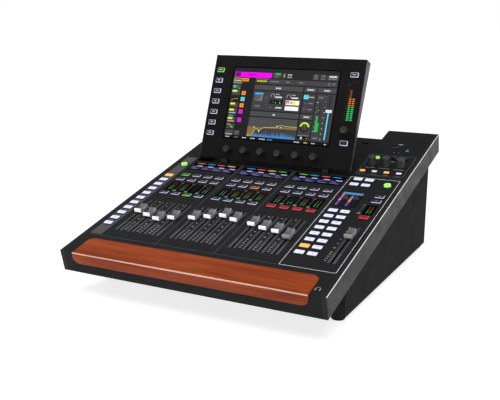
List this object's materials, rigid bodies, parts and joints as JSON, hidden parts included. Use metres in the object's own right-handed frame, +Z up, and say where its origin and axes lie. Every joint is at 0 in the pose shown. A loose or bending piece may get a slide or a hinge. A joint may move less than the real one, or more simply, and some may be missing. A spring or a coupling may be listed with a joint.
{
  "type": "mixing console",
  "caption": "Compact digital mixing console with a sloping surface of faders and lit buttons, a fold-down colour display, a wooden palm rest and a steel base.",
  "frame": {"origin": "on the floor under the middle of the bounding box", "axes": "+X to the right, +Y from the palm rest towards the rear panel, +Z up"},
  "size_m": [0.462, 0.5907, 0.3675],
  "materials": {
    "black_steel": "black",
    "board": "solder mask",
    "cap_white": "fader cap with a white front",
    "cheek_metal": "satin grey",
    "dark_plastic": "matte",
    "foot_rubber": "matte",
    "glass_dark": "gloss",
    "gloss_black": "gloss",
    "key_green": "backlit green keycap",
    "key_grey": "translucent grey keycap",
    "key_red": "backlit red keycap",
    "key_white": "backlit white keycap",
    "knob_plastic": "soft-touch",
    "panel_metal": "matte charcoal powder coat",
    "rest_wood": "satin varnished reddish brown wood",
    "screen": "lit screen",
    "steel": "bare steel",
    "tub_metal": "satin dark grey"
  },
  "bodies": {
    "console": {"armrest": "rest_wood", "base_tub": "tub_metal", "control_board": "board", "display_bay": "panel_metal", "fader_units": "steel", "feet": "foot_rubber", "front_shell": "panel_metal", "hinge_brackets": "black_steel", "left_cheek": "cheek_metal", "main_board": "board", "mains_inlet": "dark_plastic", "overhang_cover": "tub_metal", "phone_jacks": "dark_plastic", "power_supply": "steel", "rear_panel": "tub_metal", "right_cheek": "cheek_metal", "screws": "black_steel", "signal_sockets": "dark_plastic", "small_screens": "screen", "top_panel": "panel_metal", "window_panes": "glass_dark"},
    "display_head": {"display_bezel": "gloss_black", "display_back": "cheek_metal", "display_screen": "screen", "display_glass": "glass_dark", "display_board": "board", "hinge_arms": "black_steel", "hinge_pins": "steel"},
    "fader_1": {"fader_1": "cap_white"},
    "fader_2": {"fader_2": "cap_white"},
    "fader_3": {"fader_3": "cap_white"},
    "fader_4": {"fader_4": "cap_white"},
    "fader_5": {"fader_5": "cap_white"},
    "fader_6": {"fader_6": "cap_white"},
    "fader_7": {"fader_7": "cap_white"},
    "fader_8": {"fader_8": "cap_white"},
    "fader_9": {"fader_9": "cap_white"},
    "fader_10": {"fader_10": "cap_white"},
    "fader_11": {"fader_11": "cap_white"},
    "fader_12": {"fader_12": "cap_white"},
    "main_fader": {"main_fader": "cap_white"},
    "display_knob_1": {"display_knob_1": "knob_plastic"},
    "display_knob_2": {"display_knob_2": "knob_plastic"},
    "display_knob_3": {"display_knob_3": "knob_plastic"},
    "display_knob_4": {"display_knob_4": "knob_plastic"},
    "display_knob_5": {"display_knob_5": "knob_plastic"},
    "display_knob_6": {"display_knob_6": "knob_plastic"},
    "display_side_knob": {"display_side_knob": "knob_plastic"},
    "monitor_knob_1": {"monitor_knob_1": "knob_plastic"},
    "monitor_knob_2": {"monitor_knob_2": "knob_plastic"},
    "monitor_knob_3": {"monitor_knob_3": "knob_plastic"},
    "layer_buttons": {"layer_buttons": "key_white"},
    "select_buttons": {"select_buttons": "key_grey"},
    "solo_buttons": {"solo_buttons": "key_grey"},
    "mute_buttons": {"mute_buttons": "key_red"},
    "block_buttons": {"block_buttons": "key_white"},
    "menu_buttons": {"menu_buttons": "key_white"},
    "round_buttons": {"round_buttons": "key_green"},
    "display_buttons": {"display_buttons": "key_grey"},
    "power_rocker": {"power_rocker": "dark_plastic"}
  },
  "joints": [
    {"name": "display_fold", "type": "hinge", "parent": "console", "child": "display_head", "pos_m": [-0.0268, 0.07782, 0.15815], "axis": [-1, 0, 0], "range_deg": [0, 55.15]},
    {"name": "fader_1_slide", "type": "slide", "parent": "console", "child": "fader_1", "axis": [0, 0.9692, 0.2462], "range_m": [-0.0648, 0.0352]},
    {"name": "fader_2_slide", "type": "slide", "parent": "console", "child": "fader_2", "axis": [0, 0.9692, 0.2462], "range_m": [-0.0558, 0.0442]},
    {"name": "fader_3_slide", "type": "slide", "parent": "console", "child": "fader_3", "axis": [0, 0.9692, 0.2462], "range_m": [-0.0473, 0.0527]},
    {"name": "fader_4_slide", "type": "slide", "parent": "console", "child": "fader_4", "axis": [0, 0.9692, 0.2462], "range_m": [-0.0573, 0.0427]},
    {"name": "fader_5_slide", "type": "slide", "parent": "console", "child": "fader_5", "axis": [0, 0.9692, 0.2462], "range_m": [-0.0663, 0.0337]},
    {"name": "fader_6_slide", "type": "slide", "parent": "console", "child": "fader_6", "axis": [0, 0.9692, 0.2462], "range_m": [-0.0768, 0.0232]},
    {"name": "fader_7_slide", "type": "slide", "parent": "console", "child": "fader_7", "axis": [0, 0.9692, 0.2462], "range_m": [-0.0868, 0.0132]},
    {"name": "fader_8_slide", "type": "slide", "parent": "console", "child": "fader_8", "axis": [0, 0.9692, 0.2462], "range_m": [-0.0788, 0.0212]},
    {"name": "fader_9_slide", "type": "slide", "parent": "console", "child": "fader_9", "axis": [0, 0.9692, 0.2462], "range_m": [-0.0733, 0.0267]},
    {"name": "fader_10_slide", "type": "slide", "parent": "console", "child": "fader_10", "axis": [0, 0.9692, 0.2462], "range_m": [-0.0658, 0.0342]},
    {"name": "fader_11_slide", "type": "slide", "parent": "console", "child": "fader_11", "axis": [0, 0.9692, 0.2462], "range_m": [-0.0618, 0.0382]},
    {"name": "fader_12_slide", "type": "slide", "parent": "console", "child": "fader_12", "axis": [0, 0.9692, 0.2462], "range_m": [-0.0503, 0.0497]},
    {"name": "main_fader_slide", "type": "slide", "parent": "console", "child": "main_fader", "axis": [0, 0.9692, 0.2462], "range_m": [-0.0763, 0.0237]},
    {"name": "display_knob_1_turn", "type": "hinge", "parent": "display_head", "child": "display_knob_1", "pos_m": [-0.1194, 0.07229, 0.19175], "axis": [0, -0.9361, 0.3518], "continuous": true},
    {"name": "display_knob_2_turn", "type": "hinge", "parent": "display_head", "child": "display_knob_2", "pos_m": [-0.0837, 0.07229, 0.19175], "axis": [0, -0.9361, 0.3518], "continuous": true},
    {"name": "display_knob_3_turn", "type": "hinge", "parent": "display_head", "child": "display_knob_3", "pos_m": [-0.048, 0.07229, 0.19175], "axis": [0, -0.9361, 0.3518], "continuous": true},
    {"name": "display_knob_4_turn", "type": "hinge", "parent": "display_head", "child": "display_knob_4", "pos_m": [-0.0123, 0.07229, 0.19175], "axis": [0, -0.9361, 0.3518], "continuous": true},
    {"name": "display_knob_5_turn", "type": "hinge", "parent": "display_head", "child": "display_knob_5", "pos_m": [0.0234, 0.07229, 0.19175], "axis": [0, -0.9361, 0.3518], "continuous": true},
    {"name": "display_knob_6_turn", "type": "hinge", "parent": "display_head", "child": "display_knob_6", "pos_m": [0.0591, 0.07229, 0.19175], "axis": [0, -0.9361, 0.3518], "continuous": true},
    {"name": "display_side_knob_turn", "type": "hinge", "parent": "display_head", "child": "display_side_knob", "pos_m": [0.1094, 0.09111, 0.24183], "axis": [0, -0.9361, 0.3518], "continuous": true},
    {"name": "monitor_knob_1_turn", "type": "hinge", "parent": "console", "child": "monitor_knob_1", "pos_m": [0.1505, 0.12527, 0.17935], "axis": [0, -0.2462, 0.9692], "range_deg": [-150, 150]},
    {"name": "monitor_knob_2_turn", "type": "hinge", "parent": "console", "child": "monitor_knob_2", "pos_m": [0.1775, 0.12527, 0.17935], "axis": [0, -0.2462, 0.9692], "range_deg": [-150, 150]},
    {"name": "monitor_knob_3_turn", "type": "hinge", "parent": "console", "child": "monitor_knob_3", "pos_m": [0.2045, 0.12527, 0.17935], "axis": [0, -0.2462, 0.9692], "range_deg": [-150, 150]},
    {"name": "layer_buttons_press", "type": "slide", "parent": "console", "child": "layer_buttons", "axis": [0, 0.2462, -0.9692], "range_m": [0, 0.001], "stiffness_N_per_m": 1500, "springref_m": -0.0006},
    {"name": "select_buttons_press", "type": "slide", "parent": "console", "child": "select_buttons", "axis": [0, 0.2462, -0.9692], "range_m": [0, 0.001], "stiffness_N_per_m": 1500, "springref_m": -0.0006},
    {"name": "solo_buttons_press", "type": "slide", "parent": "console", "child": "solo_buttons", "axis": [0, 0.2462, -0.9692], "range_m": [0, 0.001], "stiffness_N_per_m": 1500, "springref_m": -0.0006},
    {"name": "mute_buttons_press", "type": "slide", "parent": "console", "child": "mute_buttons", "axis": [0, 0.2462, -0.9692], "range_m": [0, 0.001], "stiffness_N_per_m": 1500, "springref_m": -0.0006},
    {"name": "block_buttons_press", "type": "slide", "parent": "console", "child": "block_buttons", "axis": [0, 0.2462, -0.9692], "range_m": [0, 0.001], "stiffness_N_per_m": 1500, "springref_m": -0.0006},
    {"name": "menu_buttons_press", "type": "slide", "parent": "console", "child": "menu_buttons", "axis": [0, 0.2462, -0.9692], "range_m": [0, 0.001], "stiffness_N_per_m": 1500, "springref_m": -0.0006},
    {"name": "round_buttons_press", "type": "slide", "parent": "console", "child": "round_buttons", "axis": [0, 0.2462, -0.9692], "range_m": [0, 0.001], "stiffness_N_per_m": 1500, "springref_m": -0.0006},
    {"name": "display_buttons_press", "type": "slide", "parent": "display_head", "child": "display_buttons", "axis": [0, 0.9361, -0.3518], "range_m": [0, 0.0008], "stiffness_N_per_m": 1500, "springref_m": -0.0006},
    {"name": "power_rocker_tilt", "type": "hinge", "parent": "console", "child": "power_rocker", "pos_m": [-0.185, 0.249, 0.084], "axis": [-1, 0, 0], "range_deg": [0, 16]}
  ]
}
